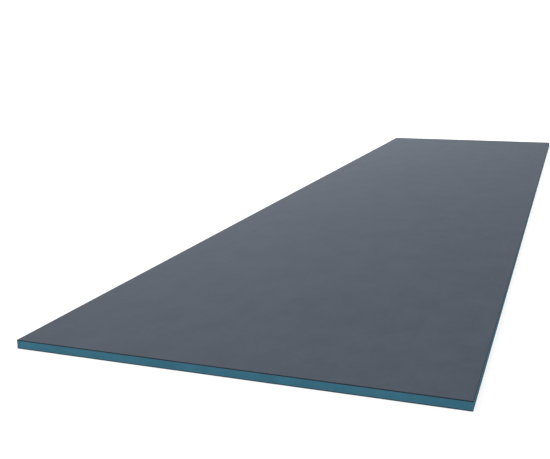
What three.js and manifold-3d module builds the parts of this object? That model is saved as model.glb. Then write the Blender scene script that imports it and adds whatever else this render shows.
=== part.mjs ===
// XPS underlay board: an extruded foam core with a mesh-reinforced cement coating on each face.
// Millimetres, +Z up. X runs along the board and Y across it.
// The origin is the centre of the lower face, so the board lies on z = 0.
import * as THREE from "three";
import { mergeVertices } from "three/addons/utils/BufferGeometryUtils.js";
import Module from "manifold-3d";

// Driving dimensions
const LENGTH = 2500;
const WIDTH = 600;
const CORE_THICKNESS = 10.1;
const COATING_THICKNESS = 1.2;
const ARRIS_RADIUS = 0.3; // the rounded outer edge of each coating
const ARRIS_STEPS = 4; // straight steps that stand for the arris's quarter circle

// Levels from the floor up. Neighbouring layers share a level, so they meet face to face.
const BOARD_BOTTOM = 0;
const CORE_BOTTOM = BOARD_BOTTOM + COATING_THICKNESS;
const CORE_TOP = CORE_BOTTOM + CORE_THICKNESS;
const BOARD_TOP = CORE_TOP + COATING_THICKNESS;

const FOAM = new THREE.MeshStandardMaterial({ color: 0x3e6c80, roughness: 0.75, metalness: 0 });
const CEMENT = new THREE.MeshStandardMaterial({ color: 0x59616c, roughness: 0.6, metalness: 0 });

// Which way a section lies in the board: its own x, its up and the way it is extruded.
const X_AXIS = new THREE.Vector3(1, 0, 0);
const Y_AXIS = new THREE.Vector3(0, 1, 0);
const Z_AXIS = new THREE.Vector3(0, 0, 1);
const CROSS_SECTION = new THREE.Matrix4().makeBasis(Y_AXIS, Z_AXIS, X_AXIS);
const LONG_SECTION = new THREE.Matrix4().makeBasis(X_AXIS, Z_AXIS, Y_AXIS.clone().negate());

const wasm = await Module();
wasm.setup();

/** The solid that a closed three.js geometry bounds. */
function solidOf(geometry) {
  const bare = geometry.clone();
  bare.deleteAttribute("normal");
  bare.deleteAttribute("uv");
  const merged = mergeVertices(bare);
  const mesh = new wasm.Mesh({
    numProp: 3,
    vertProperties: merged.attributes.position.array,
    triVerts: new Uint32Array(merged.index.array),
  });
  return new wasm.Manifold(mesh);
}

/** The three.js geometry of a solid, with flat-shaded faces. */
function geometryOf(solid) {
  const mesh = solid.getMesh();
  const indexed = new THREE.BufferGeometry();
  indexed.setAttribute("position", new THREE.BufferAttribute(mesh.vertProperties, mesh.numProp));
  indexed.setIndex(new THREE.BufferAttribute(mesh.triVerts, 1));
  const geometry = indexed.toNonIndexed();
  geometry.computeVertexNormals();
  return geometry;
}

/** A coating's section: square where it meets the core, rounded at both ends of its outer face. */
function coatingSection(span, inner, outer) {
  const outwards = Math.sign(outer - inner);
  const radius = Math.min(ARRIS_RADIUS, COATING_THICKNESS / 2);
  const half = span / 2;
  const points = [new THREE.Vector2(half, inner)];
  for (const side of [1, -1]) {
    const quarter = [];
    for (let step = 0; step <= ARRIS_STEPS; step += 1) {
      const angle = (Math.PI / 2) * (step / ARRIS_STEPS);
      const across = side * (half - radius + radius * Math.cos(angle));
      const up = outer - outwards * radius * (1 - Math.sin(angle));
      quarter.push(new THREE.Vector2(across, up));
    }
    points.push(...(side === 1 ? quarter : quarter.reverse()));
  }
  points.push(new THREE.Vector2(-half, inner));
  return new THREE.Shape(points);
}

/** A section extruded to both sides of the board's middle, along the way that its placing gives. */
function extruded(section, length, placing) {
  const geometry = new THREE.ExtrudeGeometry(section, { depth: length, bevelEnabled: false });
  geometry.translate(0, 0, -length / 2);
  geometry.applyMatrix4(placing);
  return geometry;
}

/** A coating from its inner to its outer level, with all four outer edges rounded. */
function coating(name, inner, outer) {
  const acrossBoard = extruded(coatingSection(WIDTH, inner, outer), LENGTH, CROSS_SECTION);
  const alongBoard = extruded(coatingSection(LENGTH, inner, outer), WIDTH, LONG_SECTION);
  const solid = solidOf(acrossBoard).intersect(solidOf(alongBoard));
  const mesh = new THREE.Mesh(geometryOf(solid), CEMENT.clone());
  mesh.name = name;
  return mesh;
}

/** The foam core: a plain rectangular section with sawn edges. */
function foamCore() {
  const half = WIDTH / 2;
  const section = new THREE.Shape([
    new THREE.Vector2(half, CORE_BOTTOM),
    new THREE.Vector2(half, CORE_TOP),
    new THREE.Vector2(-half, CORE_TOP),
    new THREE.Vector2(-half, CORE_BOTTOM),
  ]);
  const mesh = new THREE.Mesh(extruded(section, LENGTH, CROSS_SECTION), FOAM);
  mesh.name = "foam_core";
  return mesh;
}

const board = new THREE.Group();
board.add(
  foamCore(),
  coating("top_coating", CORE_TOP, BOARD_TOP),
  coating("bottom_coating", CORE_BOTTOM, BOARD_BOTTOM),
);

export default board;
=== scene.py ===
"""An XPS underlay board, dressed for a studio photograph.

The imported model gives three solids: a blue foam core and a cement coating on each face.
Each is replaced here by a finer mesh of the same size, with the relief that the real board
has: coatings that undulate slightly, sawn foam set back a hair from them, and rounded arrises.
Sizes are in metres. X runs along the board, Y across it and Z up from its lower face.
"""

import logging
import math
from dataclasses import dataclass
from enum import Enum

import bmesh
import bpy
from mathutils import Matrix, Vector, noise


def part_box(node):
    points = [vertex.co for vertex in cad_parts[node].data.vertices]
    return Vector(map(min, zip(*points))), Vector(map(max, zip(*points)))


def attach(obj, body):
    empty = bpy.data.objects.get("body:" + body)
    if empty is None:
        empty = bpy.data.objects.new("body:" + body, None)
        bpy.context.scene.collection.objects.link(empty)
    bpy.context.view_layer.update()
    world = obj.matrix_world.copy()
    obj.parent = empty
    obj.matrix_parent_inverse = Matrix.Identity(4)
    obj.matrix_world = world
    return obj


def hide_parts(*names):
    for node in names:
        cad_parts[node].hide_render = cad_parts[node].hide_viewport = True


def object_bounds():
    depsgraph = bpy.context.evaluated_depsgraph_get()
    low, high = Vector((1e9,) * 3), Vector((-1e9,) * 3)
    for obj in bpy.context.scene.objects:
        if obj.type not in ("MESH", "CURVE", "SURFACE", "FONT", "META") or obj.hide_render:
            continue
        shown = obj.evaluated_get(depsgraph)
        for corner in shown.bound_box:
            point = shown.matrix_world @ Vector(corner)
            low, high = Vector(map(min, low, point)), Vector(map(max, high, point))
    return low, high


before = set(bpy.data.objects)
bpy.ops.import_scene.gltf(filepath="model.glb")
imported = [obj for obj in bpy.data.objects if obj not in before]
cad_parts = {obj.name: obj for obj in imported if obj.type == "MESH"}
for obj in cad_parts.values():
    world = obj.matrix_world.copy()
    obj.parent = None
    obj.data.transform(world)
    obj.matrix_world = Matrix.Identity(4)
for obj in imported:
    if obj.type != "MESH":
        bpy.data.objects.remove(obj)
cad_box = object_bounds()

BODY = "root"
MM = 0.001

# A noise texture keeps near its middle value, so its swing is widened to about -1 to 1.
NOISE_MIDDLE = 0.5
NOISE_WIDENING = 4.0

# The Mix node's sockets for colours, whose names its sockets for numbers also have.
MIX_LOW = 6
MIX_HIGH = 7
MIX_COLOUR = 2

# A face is flat when its normal is at least this upright.
FLAT_NORMAL = 0.99
# An edge runs from one end of a slab to the other when it is longer than this share of it.
WHOLE_SPAN = 0.9
# Faces that meet at a larger angle than this, in degrees, have a crisp edge between them.
CRISP_ANGLE = 10.0

log = logging.getLogger("board")

Colour = tuple[float, float, float]
Point = tuple[float, float, float]
Socket = bpy.types.NodeSocket


class Axis(Enum):
    """The way in which a row of marks, or the length of an edge, runs."""

    ALONG = 0
    ACROSS = 1
    UP = 2


class Level(Enum):
    """Which face of the board a coating is on, as the way in which it looks."""

    TOP = 1
    BOTTOM = -1


class Side(Enum):
    """One of the six sides of a slab."""

    UPPER = 0
    LOWER = 1
    NEAR_END = 2
    FAR_END = 3
    RIGHT_EDGE = 4
    LEFT_EDGE = 5


FLATS = (Side.UPPER, Side.LOWER)
ENDS = (Side.NEAR_END, Side.FAR_END)


@dataclass(frozen=True)
class Clouds:
    """A soft pattern: the size of a cloud, how many times longer it is each way, and its finer layers."""

    size: float
    stretch: Point = (1.0, 1.0, 1.0)
    detail: float = 2.0
    harshness: float = 0.5


@dataclass(frozen=True)
class Dots:
    """Scattered round dots: the pitch of the places for them, their radius and the share that is taken."""

    pitch: float
    radius: float
    share: float


class Recipe:
    """A material's node tree, filled one texture at a time.

    Patterns read Object coordinates, so their sizes are the board's own, in metres.
    """

    def __init__(self, name: str) -> None:
        """Start a material that holds a plain surface shader.

        Args:
            name: The material's name.
        """
        self.material = bpy.data.materials.new(name)
        self.material.use_nodes = True
        self.nodes = self.material.node_tree.nodes
        self.links = self.material.node_tree.links
        self.shader = self.nodes["Principled BSDF"]
        self.place = self.nodes.new("ShaderNodeTexCoord").outputs["Object"]

    def add(self, kind: str, inputs: dict[str | int, object], **settings: object) -> bpy.types.Node:
        """Add a node.

        Args:
            kind: The node's type, without the word that all shader nodes start with.
            inputs: The value of each input, or the socket that feeds it, by name or number.
            settings: The node's own settings.

        Returns:
            The new node.
        """
        node = self.nodes.new("ShaderNode" + kind)
        for name, value in settings.items():
            setattr(node, name, value)
        for name, value in inputs.items():
            self.feed(node.inputs[name], value)
        return node

    def feed(self, socket: Socket, value: object) -> None:
        """Link a socket to another, or set it to a plain value.

        Args:
            socket: The input to feed.
            value: A socket or a value.
        """
        if isinstance(value, bpy.types.NodeSocket):
            self.links.new(value, socket)
        else:
            socket.default_value = value

    def work_out(self, operation: str, first: Socket | float, second: Socket | float = 0.0) -> Socket:
        """Work out one sum.

        Args:
            operation: The name of the sum.
            first: A number or a socket.
            second: Another, for sums that take two.

        Returns:
            The socket that holds the answer.
        """
        return self.add("Math", {0: first, 1: second}, operation=operation).outputs[0]

    def scaled(self, value: Socket, times: float) -> Socket:
        """Multiply a number by a plain one."""
        return self.work_out("MULTIPLY", value, times)

    def squared(self, value: Socket) -> Socket:
        """Multiply a number by itself."""
        return self.work_out("MULTIPLY", value, value)

    def total(self, parts: list[Socket], start: float = 0.0) -> Socket:
        """Add several numbers up.

        Args:
            parts: The sockets that hold them.
            start: What they are added to.

        Returns:
            The socket that holds the total.
        """
        answer = start
        for part in parts:
            answer = self.work_out("ADD", answer, part)
        return answer

    def part(self, axis: Axis) -> Socket:
        """Read one coordinate."""
        return self.add("SeparateXYZ", {"Vector": self.place}).outputs[axis.value]

    def fade(self, value: Socket, start: float, end: float) -> Socket:
        """Turn a number into a smooth step from 1 at one value to 0 at another.

        Args:
            value: The number.
            start: Where the step is still 1.
            end: Where it has come down to 0.

        Returns:
            The socket that holds the step.
        """
        inputs = {"Value": value, "From Min": start, "From Max": end, "To Min": 1.0, "To Max": 0.0}
        return self.add("MapRange", inputs, interpolation_type="SMOOTHSTEP").outputs[0]

    def scattered(self, pitch: float) -> bpy.types.Node:
        """Scatter points through the board, and tell how far each place is from the nearest one.

        Args:
            pitch: The mean distance between the points, which becomes the unit of distance.

        Returns:
            The node, with the distance and a colour for each point.
        """
        where = self.add("Mapping", {"Vector": self.place, "Scale": (1.0 / pitch,) * 3})
        return self.add("TexVoronoi", {"Vector": where.outputs[0], "Scale": 1.0})

    def clouds(self, pattern: Clouds) -> Socket:
        """Make a soft pattern that runs from about -1 to 1.

        Args:
            pattern: Its sizes.

        Returns:
            The socket that holds the pattern.
        """
        scale = tuple(1.0 / (pattern.size * times) for times in pattern.stretch)
        where = self.add("Mapping", {"Vector": self.place, "Scale": scale})
        inputs = {
            "Vector": where.outputs[0],
            "Scale": 1.0,
            "Detail": pattern.detail,
            "Roughness": pattern.harshness,
        }
        noise_value = self.add("TexNoise", inputs).outputs["Fac"]
        return self.scaled(self.work_out("SUBTRACT", noise_value, NOISE_MIDDLE), NOISE_WIDENING)

    def dots(self, pattern: Dots) -> Socket:
        """Make scattered round dots, 1 at their centres and 0 between them.

        Args:
            pattern: Their sizes.

        Returns:
            The socket that holds the dots.
        """
        points = self.scattered(pattern.pitch)
        near = self.fade(points.outputs["Distance"], 0.0, pattern.radius / pattern.pitch)
        lot = self.add("SeparateColor", {"Color": points.outputs["Color"]}).outputs[0]
        return self.work_out("MULTIPLY", near, self.work_out("LESS_THAN", lot, pattern.share))

    def colour(self, low: Colour, high: Colour, share: Socket, tone: Socket) -> None:
        """Give the surface a colour between two others, lightened or darkened by a tone.

        Args:
            low: The colour where the share is -1.
            high: The colour where it is 1.
            share: The pattern that mixes them.
            tone: What the mixed colour is multiplied by.
        """
        amount = self.add("MapRange", {"Value": share, "From Min": -1.0, "From Max": 1.0}).outputs[0]
        colours = {"Factor": amount, MIX_LOW: (*low, 1.0), MIX_HIGH: (*high, 1.0)}
        mixed = self.add("Mix", colours, data_type="RGBA").outputs[MIX_COLOUR]
        toned = self.add("VectorMath", {"Vector": mixed, "Scale": tone}, operation="SCALE")
        self.feed(self.shader.inputs["Base Color"], toned.outputs[0])

    def relief(self, height: Socket) -> None:
        """Raise the surface, for light only, by a height in metres."""
        bump = self.add("Bump", {"Strength": 1.0, "Distance": 1.0, "Height": height})
        self.feed(self.shader.inputs["Normal"], bump.outputs[0])

    def gloss(self, roughness: Socket | float, specular: float) -> None:
        """Set how the surface shines.

        Args:
            roughness: A number or a socket, from 0 for a mirror to 1 for chalk.
            specular: The strength of its shine, 0.5 for most plain stuff.
        """
        self.feed(self.shader.inputs["Roughness"], roughness)
        self.shader.inputs["Specular IOR Level"].default_value = specular

    def glow(self, strength: float) -> None:
        """Let the surface give off white light of its own."""
        self.shader.inputs["Emission Color"].default_value = (1.0, 1.0, 1.0, 1.0)
        self.shader.inputs["Emission Strength"].default_value = strength


@dataclass(frozen=True)
class CoatedFace:
    """The outer face of a coating: slate-grey cement over a glass mesh that shows as a faint grid.

    A tone tells how much a mark lightens the cement, and a height how far it rises. Below 0,
    the mark darkens the cement or is sunk into it. The darkened pits and rim are painted shade.
    """

    name: str
    half_length: float
    half_width: float
    cool: Colour = (0.0395, 0.0517, 0.0716)
    warm: Colour = (0.0416, 0.0529, 0.0701)
    patches: Clouds = Clouds(420.0 * MM, stretch=(1.6, 1.0, 1.0))
    patch_tone: float = 0.012
    mottle: Clouds = Clouds(48.0 * MM, stretch=(1.3, 1.0, 1.0), detail=6.0, harshness=0.75)
    mottle_tone: float = 0.16
    streaks: Clouds = Clouds(14.0 * MM, stretch=(40.0, 1.0, 1.0), detail=1.0)
    streak_tone: float = 0.02
    sand: Clouds = Clouds(0.9 * MM)
    sand_tone: float = 0.10
    sand_height: float = 0.03 * MM
    ripple: Clouds = Clouds(35.0 * MM, detail=1.0)
    ripple_height: float = 0.06 * MM
    # Painted shade: the pits are darkened as well as sunk.
    pits: Dots = Dots(pitch=16.0 * MM, radius=0.6 * MM, share=0.5)
    pit_shade_tone: float = -0.4
    pit_height: float = -0.3 * MM
    strand_pitch: float = 5.0 * MM
    strand_width: float = 1.6 * MM
    strand_tone: float = 0.035
    strand_height: float = 0.04 * MM
    strand_bends: Clouds = Clouds(60.0 * MM, detail=1.0)
    strand_wander: float = 0.4 * MM
    # Painted shade: a ragged band along the face's edges is darkened by the rim's tone.
    rim_width: float = 1.0 * MM
    rim_shade_tone: float = -0.55
    rim_breaks: Clouds = Clouds(3.0 * MM, detail=3.0)
    rim_raggedness: float = 0.5 * MM
    roughness: float = 0.85
    roughness_spread: float = 0.03
    specular: float = 0.11

    def mesh_grid(self, mix: Recipe) -> Socket:
        """Draw the mesh's strands, 1 on a strand and 0 in the openings between them.

        Args:
            mix: The material being made.

        Returns:
            The socket that holds the grid.
        """
        wander = mix.scaled(mix.clouds(self.strand_bends), self.strand_wander)
        ways = []
        for axis in (Axis.ALONG, Axis.ACROSS):
            run = mix.work_out("ADD", mix.part(axis), wander)
            off = mix.work_out("PINGPONG", run, self.strand_pitch / 2)
            ways.append(mix.fade(off, 0.0, self.strand_width / 2))
        return mix.work_out("MAXIMUM", *ways)

    def painted_rim_shade(self, mix: Recipe) -> Socket:
        """Draw a ragged band of painted shade along the face's edges.

        Args:
            mix: The material being made.

        Returns:
            The socket that holds the rim, 1 at the edge and 0 away from it.
        """
        ragged = mix.scaled(mix.clouds(self.rim_breaks), self.rim_raggedness)
        sides = []
        for axis, half in ((Axis.ALONG, self.half_length), (Axis.ACROSS, self.half_width)):
            off = mix.work_out("SUBTRACT", half, mix.work_out("ABSOLUTE", mix.part(axis)))
            uneven = mix.work_out("ADD", off, ragged)
            sides.append(mix.fade(uneven, self.rim_width / 2, self.rim_width))
        return mix.work_out("MAXIMUM", *sides)

    def make(self) -> bpy.types.Material:
        """Make the material.

        Returns:
            The material.
        """
        mix = Recipe(self.name)
        mottle = mix.clouds(self.mottle)
        sand = mix.clouds(self.sand)
        pits = mix.dots(self.pits)
        strands = self.mesh_grid(mix)
        tones = [
            mix.scaled(mix.clouds(self.patches), self.patch_tone),
            mix.scaled(mottle, self.mottle_tone),
            mix.scaled(mix.clouds(self.streaks), self.streak_tone),
            mix.scaled(sand, self.sand_tone),
            # Painted shade in the pits.
            mix.scaled(pits, self.pit_shade_tone),
            mix.scaled(strands, self.strand_tone),
            # Painted shade along the face's edges.
            mix.scaled(self.painted_rim_shade(mix), self.rim_shade_tone),
        ]
        heights = [
            mix.scaled(strands, self.strand_height),
            mix.scaled(sand, self.sand_height),
            mix.scaled(mix.clouds(self.ripple), self.ripple_height),
            mix.scaled(pits, self.pit_height),
        ]
        dullness = [mix.scaled(pattern, self.roughness_spread) for pattern in (mottle, sand)]
        mix.colour(self.cool, self.warm, mottle, mix.total(tones, start=1.0))
        mix.relief(mix.total(heights))
        mix.gloss(mix.total(dullness, start=self.roughness), self.specular)
        return mix.material


@dataclass(frozen=True)
class CutMortar:
    """The cut edge of a coating: darker raw cement with sand and the ends of the glass strands.

    A strand's heart is the share of its radius that shows at full strength.
    """

    name: str
    along: Axis
    middle: float
    half_thickness: float
    dark: Colour = (0.009, 0.012, 0.016)
    light: Colour = (0.016, 0.020, 0.025)
    patches: Clouds = Clouds(6.0 * MM)
    sand: Clouds = Clouds(0.35 * MM)
    sand_tone: float = 0.25
    sand_height: float = 0.05 * MM
    grains: Dots = Dots(pitch=0.9 * MM, radius=0.28 * MM, share=0.4)
    grain_tone: float = 1.0
    grain_height: float = 0.06 * MM
    strand_pitch: float = 5.0 * MM
    strand_radius: float = 0.32 * MM
    strand_heart: float = 0.6
    strand_tone: float = 3.5
    strand_bends: Clouds = Clouds(17.0 * MM, detail=1.0)
    strand_wander: float = 1.2 * MM
    strand_depth: float = 0.5 * MM
    strands_kept: float = 0.7
    roughness: float = 0.9
    specular: float = 0.1

    def strand_ends(self, mix: Recipe) -> Socket:
        """Draw the cut ends of the glass strands, unevenly spaced and some of them buried.

        Args:
            mix: The material being made.

        Returns:
            The socket that holds the ends, as bright as each lies bare and 0 between them.
        """
        wander = mix.scaled(mix.clouds(self.strand_bends), self.strand_wander)
        run = mix.work_out("ADD", mix.part(self.along), wander)
        off = mix.work_out("PINGPONG", run, self.strand_pitch / 2)
        height = mix.work_out("ABSOLUTE", mix.work_out("SUBTRACT", mix.part(Axis.UP), self.middle))
        over = mix.work_out("SUBTRACT", height, self.half_thickness - self.strand_depth)
        reach = mix.work_out("SQRT", mix.work_out("ADD", mix.squared(off), mix.squared(over)))
        end = mix.fade(reach, self.strand_radius * self.strand_heart, self.strand_radius)
        number = mix.work_out("ROUND", mix.work_out("DIVIDE", run, self.strand_pitch))
        lot = mix.add("TexWhiteNoise", {"W": number}, noise_dimensions="1D").outputs["Value"]
        bare = mix.work_out("MULTIPLY", mix.work_out("LESS_THAN", lot, self.strands_kept), lot)
        return mix.work_out("MULTIPLY", end, bare)

    def make(self) -> bpy.types.Material:
        """Make the material.

        Returns:
            The material.
        """
        mix = Recipe(self.name)
        sand = mix.clouds(self.sand)
        grains = mix.dots(self.grains)
        tones = [
            mix.scaled(sand, self.sand_tone),
            mix.scaled(grains, self.grain_tone),
            mix.scaled(self.strand_ends(mix), self.strand_tone),
        ]
        heights = [mix.scaled(sand, self.sand_height), mix.scaled(grains, self.grain_height)]
        mix.colour(self.dark, self.light, mix.clouds(self.patches), mix.total(tones, start=1.0))
        mix.relief(mix.total(heights))
        mix.gloss(self.roughness, self.specular)
        return mix.material


@dataclass(frozen=True)
class SawnFoam:
    """Extruded polystyrene where it was cut: blue closed cells with the saw's fine marks.

    A saw mark is as wide as its size, and longer than that by its stretch.
    """

    name: str
    marks_along: Axis
    deep: Colour = (0.0272, 0.0978, 0.1412)
    pale: Colour = (0.0311, 0.1090, 0.1562)
    density: Clouds = Clouds(30.0 * MM)
    density_tone: float = 0.03
    cell_size: float = 0.32 * MM
    cell_rim: float = 0.5
    cell_tone: float = 0.25
    cell_height: float = 0.05 * MM
    mark_size: float = 0.8 * MM
    mark_stretch: float = 60.0
    mark_tone: float = 0.05
    mark_height: float = 0.04 * MM
    # Painted shade: the nicks are darkened as well as sunk.
    nicks: Dots = Dots(pitch=9.0 * MM, radius=0.6 * MM, share=0.25)
    nick_shade_tone: float = -0.25
    nick_height: float = -0.3 * MM
    roughness: float = 0.85
    specular: float = 0.05

    def make(self) -> bpy.types.Material:
        """Make the material.

        Returns:
            The material.
        """
        mix = Recipe(self.name)
        stretch = tuple(self.mark_stretch if axis is self.marks_along else 1.0 for axis in Axis)
        marks = mix.clouds(Clouds(self.mark_size, stretch))
        centres = mix.scattered(self.cell_size)
        cells = mix.work_out("SUBTRACT", centres.outputs["Distance"], self.cell_rim)
        density = mix.clouds(self.density)
        nicks = mix.dots(self.nicks)
        tones = [
            mix.scaled(cells, self.cell_tone),
            mix.scaled(marks, self.mark_tone),
            mix.scaled(density, self.density_tone),
            # Painted shade in the nicks.
            mix.scaled(nicks, self.nick_shade_tone),
        ]
        heights = [
            mix.scaled(cells, self.cell_height),
            mix.scaled(marks, self.mark_height),
            mix.scaled(nicks, self.nick_height),
        ]
        mix.colour(self.deep, self.pale, density, mix.total(tones, start=1.0))
        mix.relief(mix.total(heights))
        mix.gloss(self.roughness, self.specular)
        return mix.material


@dataclass(frozen=True)
class LightTable:
    """The white studio table that the board lies on, lit a little from within to soften shadows."""

    name: str
    shade: Colour = (0.40, 0.40, 0.40)
    patches: Clouds = Clouds(300.0 * MM)
    patch_tone: float = 0.004
    roughness: float = 0.9
    specular: float = 0.2
    inner_light: float = 0.65

    def make(self) -> bpy.types.Material:
        """Make the material.

        Returns:
            The material.
        """
        mix = Recipe(self.name)
        patches = mix.scaled(mix.clouds(self.patches), self.patch_tone)
        mix.colour(self.shade, self.shade, patches, mix.total([patches], start=1.0))
        mix.gloss(self.roughness, self.specular)
        mix.glow(self.inner_light)
        return mix.material


@dataclass(frozen=True)
class Band:
    """A band of a piece's own colour map, which holds one side of the slab cut into equal parts.

    Long sides lie in several rows, so that they fill the map and keep their detail.
    """

    side: Side
    height: float
    parts: int = 1
    columns: int = 1


@dataclass(frozen=True)
class Atlas:
    """The layout of a piece's own colour map: bands from the bottom up, with gaps between them."""

    bands: tuple[Band, ...]
    gap: float = 0.004
    name: str = "OFBake"

    def corner(self, side: Side, part: int) -> tuple[float, float, float, float]:
        """Find where one part of a side lies in the map.

        Args:
            side: The side.
            part: The number of the part, from 0.

        Returns:
            Its left edge, its lower edge, its width and its height, as shares of the map.
        """
        foot = self.gap
        for band in self.bands:
            if band.side is side:
                break
            foot += math.ceil(band.parts / band.columns) * (band.height + self.gap)
        width = (1.0 - self.gap) / band.columns - self.gap
        left = self.gap + part % band.columns * (width + self.gap)
        low = foot + part // band.columns * (band.height + self.gap)
        return left, low, width, band.height

    def parts(self, side: Side) -> int:
        """Tell how many parts a side is cut into."""
        return next(band.parts for band in self.bands if band.side is side)


class Slab:
    """A rectangular mesh with evenly spaced cuts, made from a cube to fill a CAD node's box."""

    def __init__(self, node: str, inset: float = 0.0) -> None:
        """Start the slab.

        Args:
            node: The CAD node whose box it fills.
            inset: How far its four upright sides are drawn in from that box.
        """
        self.low, self.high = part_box(node)
        self.low += Vector((inset, inset, 0.0))
        self.high -= Vector((inset, inset, 0.0))
        self.size = self.high - self.low
        self.centre = (self.low + self.high) / 2
        self.mesh = bmesh.new()
        bmesh.ops.create_cube(self.mesh, size=1.0)
        bmesh.ops.scale(self.mesh, vec=self.size, verts=self.mesh.verts)
        bmesh.ops.translate(self.mesh, vec=self.centre, verts=self.mesh.verts)

    def level_of(self, level: Level) -> float:
        """Tell how high the upper or the lower face lies."""
        return self.high.z if level is Level.TOP else self.low.z

    def round_rim(self, level: Level, radius: float, segments: int) -> None:
        """Round the four edges around the upper or the lower face, before any cuts are made.

        Args:
            level: Which face.
            radius: The rounding's radius.
            segments: How many flats stand for it.
        """
        z = self.level_of(level)
        rim = [e for e in self.mesh.edges if all(abs(v.co.z - z) < radius for v in e.verts)]
        bmesh.ops.bevel(
            self.mesh,
            geom=rim,
            offset=radius,
            offset_type="OFFSET",
            segments=segments,
            profile=0.5,
            affect="EDGES",
            material=-1,
            clamp_overlap=True,
        )

    def cut(self, axis: Axis, cells: int) -> None:
        """Cut every edge that runs from one end of the slab to the other into equal lengths.

        Args:
            axis: The way in which the edges run.
            cells: The number of lengths.
        """
        way = axis.value
        least = WHOLE_SPAN * self.size[way]
        edges = [e for e in self.mesh.edges if abs(e.verts[0].co[way] - e.verts[1].co[way]) > least]
        bmesh.ops.subdivide_edges(self.mesh, edges=edges, cuts=cells - 1, use_grid_fill=True)

    def side_of(self, face: bmesh.types.BMFace) -> Side:
        """Tell which side a face belongs to, the rounded rim counting with the upright sides.

        Args:
            face: The face, its normal up to date.

        Returns:
            The side.
        """
        x, y, z = face.normal
        if abs(z) > FLAT_NORMAL:
            return Side.UPPER if z > 0 else Side.LOWER
        if abs(x) > abs(y):
            return Side.FAR_END if x > 0 else Side.NEAR_END
        return Side.LEFT_EDGE if y > 0 else Side.RIGHT_EDGE

    def climb(self, side: Side, place: Vector, level: Level, radius: float) -> float:
        """Measure how far up its side a point lies, along the surface, as a share of the whole way.

        Args:
            side: The side.
            place: The point.
            level: The face whose rim is rounded.
            radius: The rounding's radius.

        Returns:
            0 at one border of the side and 1 at the other.
        """
        if side in FLATS:
            return (place.y - self.low.y) / self.size.y
        way = 0 if side in ENDS else 1
        inward = self.size[way] / 2 - abs(place[way] - self.centre[way])
        below = abs(self.level_of(level) - place.z)
        return (below + radius - inward) / (self.size.z + radius)

    def lay_out(self, atlas: Atlas, level: Level = Level.TOP, radius: float = 0.0) -> None:
        """Give the slab its own colour map coordinates.

        Args:
            atlas: The map's layout.
            level: The face whose rim is rounded.
            radius: The rounding's radius.
        """
        layer = self.mesh.loops.layers.uv.new(atlas.name)
        for face in self.mesh.faces:
            side = self.side_of(face)
            way = 1 if side in ENDS else 0
            span = self.size[way] / atlas.parts(side)
            part = int((face.calc_center_median()[way] - self.low[way]) / span)
            left, foot, width, height = atlas.corner(side, part)
            for loop in face.loops:
                place = loop.vert.co
                across = (place[way] - self.low[way]) / span - part
                up = self.climb(side, place, level, radius)
                across, up = (max(0.0, min(1.0, share)) for share in (across, up))
                loop[layer].uv = (left + across * width, foot + up * height)

    def finish(self, name: str, materials: list[bpy.types.Material]) -> bpy.types.Object:
        """Turn the slab into an object of the scene.

        Args:
            name: The object's name.
            materials: Its materials, in the order of its faces' numbers.

        Returns:
            The object, with its place in its mesh.
        """
        bmesh.ops.recalc_face_normals(self.mesh, faces=self.mesh.faces)
        for face in self.mesh.faces:
            face.smooth = True
        for edge in self.mesh.edges:
            edge.smooth = edge.calc_face_angle(0.0) < math.radians(CRISP_ANGLE)
        data = bpy.data.meshes.new(name)
        self.mesh.to_mesh(data)
        self.mesh.free()
        for material in materials:
            data.materials.append(material)
        piece = bpy.data.objects.new(name, data)
        bpy.context.scene.collection.objects.link(piece)
        return piece


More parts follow.
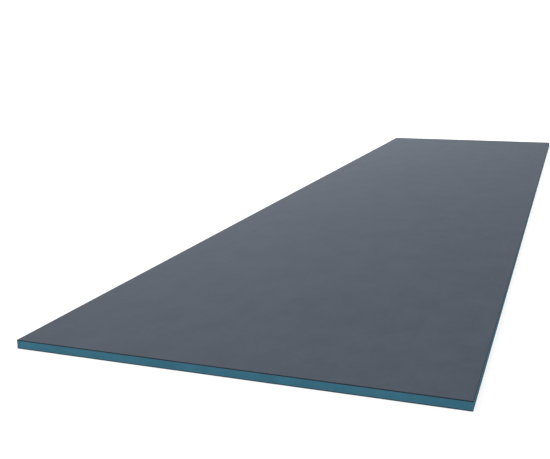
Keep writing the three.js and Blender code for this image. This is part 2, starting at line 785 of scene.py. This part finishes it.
@dataclass
class Coating:
    """A cement coating: a thin sheet whose outer face undulates and whose outer rim is rounded.

    Its waves have finer layers on them, each shorter than the one before by the ratio, and
    lower by it too, raised to the falloff. The seed sets where they lie.
    """

    node: str
    level: Level
    seed: float
    arris: float = 0.3 * MM
    arris_segments: int = 3
    cells_along: int = 256
    cells_across: int = 64
    wave_height: float = 0.12 * MM
    wave_length: float = 90.0 * MM
    wave_falloff: float = 1.0
    wave_ratio: float = 2.0
    wave_layers: int = 3
    edge_wander: float = 0.08 * MM

    def atlas(self) -> Atlas:
        """Lay out the coating's own colour map: the outer face in four large parts, the rest in rows.

        Returns:
            The layout.
        """
        outer, inner = FLATS if self.level is Level.TOP else reversed(FLATS)
        return Atlas(
            (
                Band(outer, height=0.42, parts=4, columns=2),
                Band(Side.RIGHT_EDGE, height=0.010, parts=4, columns=2),
                Band(Side.LEFT_EDGE, height=0.010, parts=4, columns=2),
                Band(Side.NEAR_END, height=0.010),
                Band(Side.FAR_END, height=0.010),
                Band(inner, height=0.030),
            )
        )

    def depth(self, place: Vector) -> float:
        """Tell how deep the waves are at a place.

        Args:
            place: The place.

        Returns:
            A share of the waves' height, from 0 to 1.
        """
        there = place / self.wave_length + Vector((self.seed, 0.0, 0.0))
        swing = noise.fractal(there, self.wave_falloff, self.wave_ratio, self.wave_layers)
        return 0.5 + 0.5 * max(-1.0, min(1.0, swing))

    def undulate(self, slab: Slab) -> None:
        """Let the outer face sink a little here and there, and the sides wander inwards.

        Args:
            slab: The sheet to shape.
        """
        outer = slab.level_of(self.level)
        for vertex in slab.mesh.verts:
            depth = self.depth(vertex.co)
            near_outer = 1.0 - abs(vertex.co.z - outer) / slab.size.z
            vertex.co.z -= self.level.value * self.wave_height * depth * near_outer
            for way in (Axis.ALONG.value, Axis.ACROSS.value):
                off = vertex.co[way] - slab.centre[way]
                within = slab.size[way] / 2 - abs(off)
                near_side = max(0.0, 1.0 - within / self.arris)
                vertex.co[way] -= math.copysign(self.edge_wander * depth * near_side, off)

    def number_faces(self, slab: Slab) -> None:
        """Give each face the number of its finish: 0 on the flats, 1 on the ends, 2 on the long edges.

        Args:
            slab: The sheet.
        """
        for face in slab.mesh.faces:
            side = slab.side_of(face)
            face.material_index = 0 if side in FLATS else 1 if side in ENDS else 2

    def build(self, finishes: list[bpy.types.Material]) -> bpy.types.Object:
        """Build and dress the coating, and let it stand for its CAD node.

        Args:
            finishes: The coated face, the ends' cut and the long edges' cut.

        Returns:
            The finished piece.
        """
        slab = Slab(self.node)
        slab.round_rim(self.level, self.arris, self.arris_segments)
        slab.cut(Axis.ALONG, self.cells_along)
        slab.cut(Axis.ACROSS, self.cells_across)
        slab.mesh.normal_update()
        self.number_faces(slab)
        slab.lay_out(self.atlas(), self.level, self.arris)
        self.undulate(slab)
        piece = slab.finish(self.node + "_skin", finishes)
        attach(piece, BODY)
        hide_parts(self.node)
        return piece


@dataclass
class FoamCore:
    """The foam core, sawn square and set back a hair behind the coatings' edges."""

    node: str = "foam_core"
    set_back: float = 0.15 * MM
    cells_along: int = 128
    cells_across: int = 30
    layers: int = 5
    atlas: Atlas = Atlas(
        (
            Band(Side.RIGHT_EDGE, height=0.035, parts=8),
            Band(Side.LEFT_EDGE, height=0.035, parts=8),
            Band(Side.NEAR_END, height=0.036, parts=2),
            Band(Side.FAR_END, height=0.036, parts=2),
            Band(Side.UPPER, height=0.080),
            Band(Side.LOWER, height=0.080),
        )
    )

    def build(self, finishes: list[bpy.types.Material]) -> bpy.types.Object:
        """Build and dress the core, and let it stand for its CAD node.

        Args:
            finishes: The foam of the ends, and that of the other sides.

        Returns:
            The finished piece.
        """
        slab = Slab(self.node, inset=self.set_back)
        slab.cut(Axis.ALONG, self.cells_along)
        slab.cut(Axis.ACROSS, self.cells_across)
        slab.cut(Axis.UP, self.layers)
        slab.mesh.normal_update()
        slab.lay_out(self.atlas)
        for face in slab.mesh.faces:
            face.material_index = 0 if slab.side_of(face) in ENDS else 1
        piece = slab.finish("foam_core_sawn", finishes)
        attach(piece, BODY)
        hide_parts(self.node)
        return piece


@dataclass
class Board:
    """The whole board: the foam core and two coatings, whose waves differ by their seeds."""

    top_seed: float = 3.7
    bottom_seed: float = 8.2

    def foam(self) -> list[bpy.types.Material]:
        """Make the core's finishes.

        Returns:
            The foam of the ends, and that of the other sides.
        """
        return [
            SawnFoam("foam_end", marks_along=Axis.UP).make(),
            SawnFoam("foam_long_edge", marks_along=Axis.ALONG).make(),
        ]

    def cement(self) -> list[bpy.types.Material]:
        """Make the coatings' finishes.

        Returns:
            The coated face, the ends' cut and the long edges' cut.
        """
        low, high = cad_box
        middle = (low[2] + high[2]) / 2
        half_thickness = (high[2] - low[2]) / 2
        return [
            CoatedFace("cement_face", half_length=high[0], half_width=high[1]).make(),
            CutMortar("mortar_end", Axis.ACROSS, middle, half_thickness).make(),
            CutMortar("mortar_long_edge", Axis.ALONG, middle, half_thickness).make(),
        ]

    def build(self) -> list[bpy.types.Object]:
        """Build every piece.

        Returns:
            The finished pieces.
        """
        foam = self.foam()
        cement = self.cement()
        return [
            FoamCore().build(foam),
            Coating("top_coating", Level.TOP, self.top_seed).build(cement),
            Coating("bottom_coating", Level.BOTTOM, self.bottom_seed).build(cement),
        ]


@dataclass(frozen=True)
class SoftBox:
    """A soft studio light: a glowing rectangle that looks at a point and isn't seen itself.

    Its power is in watts.
    """

    name: str
    place: Point
    aim: Point
    width: float
    height: float
    power: float

    def hang(self) -> bpy.types.Object:
        """Hang the light.

        Returns:
            The light.
        """
        lamp = bpy.data.lights.new(self.name, "AREA")
        lamp.shape = "RECTANGLE"
        lamp.size = self.width
        lamp.size_y = self.height
        lamp.energy = self.power
        light = bpy.data.objects.new(self.name, lamp)
        light.location = self.place
        turn = (Vector(self.aim) - Vector(self.place)).to_track_quat("-Z", "Y")
        light.rotation_euler = turn.to_euler()
        light.visible_camera = False
        bpy.context.scene.collection.objects.link(light)
        return light


@dataclass(frozen=True)
class Viewpoint:
    """The photograph's camera, found from the board's corners and edge lines in the picture.

    Its place is measured from the board's near end, right edge and upper face, and its turns
    are in degrees.
    """

    before_end: float = 0.8656
    beside_edge: float = 0.0822
    above_top: float = 0.3862
    yaw: float = 19.88
    pitch: float = 12.78
    roll: float = -0.41
    focal_px: float = 825.1
    picture_px: float = 550.0
    sensor_mm: float = 36.0
    nearest: float = 0.01
    farthest: float = 200.0

    def stand(self) -> bpy.types.Object:
        """Set the camera up and make it the scene's own.

        Returns:
            The camera.
        """
        low, high = cad_box
        lens = bpy.data.cameras.new("photo_camera")
        lens.sensor_fit = "HORIZONTAL"
        lens.sensor_width = self.sensor_mm
        lens.lens = self.focal_px / self.picture_px * self.sensor_mm
        lens.clip_start = self.nearest
        lens.clip_end = self.farthest
        camera = bpy.data.objects.new("photo_camera", lens)
        place = Vector((low[0] - self.before_end, low[1] - self.beside_edge, high[2] + self.above_top))
        # An unturned camera looks straight down. These turns start from that.
        turn = (
            Matrix.Rotation(math.radians(self.yaw - 90.0), 4, "Z")
            @ Matrix.Rotation(math.radians(90.0 - self.pitch), 4, "X")
            @ Matrix.Rotation(math.radians(self.roll), 4, "Z")
        )
        camera.matrix_world = Matrix.Translation(place) @ turn
        bpy.context.scene.collection.objects.link(camera)
        bpy.context.scene.camera = camera
        return camera


@dataclass
class Studio:
    """A white studio: a glowing table, an even white surround, and soft lights to the left and behind."""

    floor_reach: float = 30.0
    floor_drop: float = 0.2 * MM
    surround: float = 1.08
    lights: tuple[SoftBox, ...] = (
        SoftBox("far_left_light", (1.4, 2.0, 1.5), (1.2, 0.0, 0.0), 1.6, 1.2, 69.7),
        SoftBox("back_left_light", (4.2, 2.6, 1.3), (0.8, 0.0, 0.0), 3.0, 2.0, 48.2),
        SoftBox("back_light", (4.6, 0.6, 1.0), (0.8, 0.0, 0.0), 3.0, 1.6, 27.6),
        SoftBox("front_left_light", (-3.2, 2.0, 1.6), (-1.2, 0.0, 0.0), 2.0, 2.0, 41.1),
    )

    def lay_floor(self) -> bpy.types.Object:
        """Lay the table's top a hair under the board.

        Returns:
            The floor.
        """
        sheet = bmesh.new()
        bmesh.ops.create_grid(sheet, x_segments=1, y_segments=1, size=self.floor_reach)
        bmesh.ops.translate(sheet, vec=(0.0, 0.0, -self.floor_drop), verts=sheet.verts)
        data = bpy.data.meshes.new("floor")
        sheet.to_mesh(data)
        sheet.free()
        data.materials.append(LightTable("light_table").make())
        floor = bpy.data.objects.new("floor", data)
        bpy.context.scene.collection.objects.link(floor)
        return floor

    def light(self) -> None:
        """Light the board: an even white surround first, then the soft lights."""
        scene = bpy.context.scene
        scene.world = bpy.data.worlds.new("white_surround")
        scene.world.use_nodes = True
        surround = scene.world.node_tree.nodes["Background"]
        surround.inputs["Color"].default_value = (1.0, 1.0, 1.0, 1.0)
        surround.inputs["Strength"].default_value = self.surround
        for box in self.lights:
            box.hang()

    def develop(self) -> None:
        """Show the light as it falls, with no film look laid over it."""
        view = bpy.context.scene.view_settings
        view.view_transform = "Standard"
        view.look = "None"
        view.exposure = 0.0
        view.gamma = 1.0


def main() -> None:
    """Set the camera up, build the board and light it."""
    logging.basicConfig(level=logging.INFO, format="%(message)s")
    Viewpoint().stand()
    for piece in Board().build():
        log.info("%s: %d faces", piece.name, len(piece.data.polygons))
    studio = Studio()
    studio.lay_floor()
    studio.light()
    studio.develop()


if __name__ == "__main__":
    main()
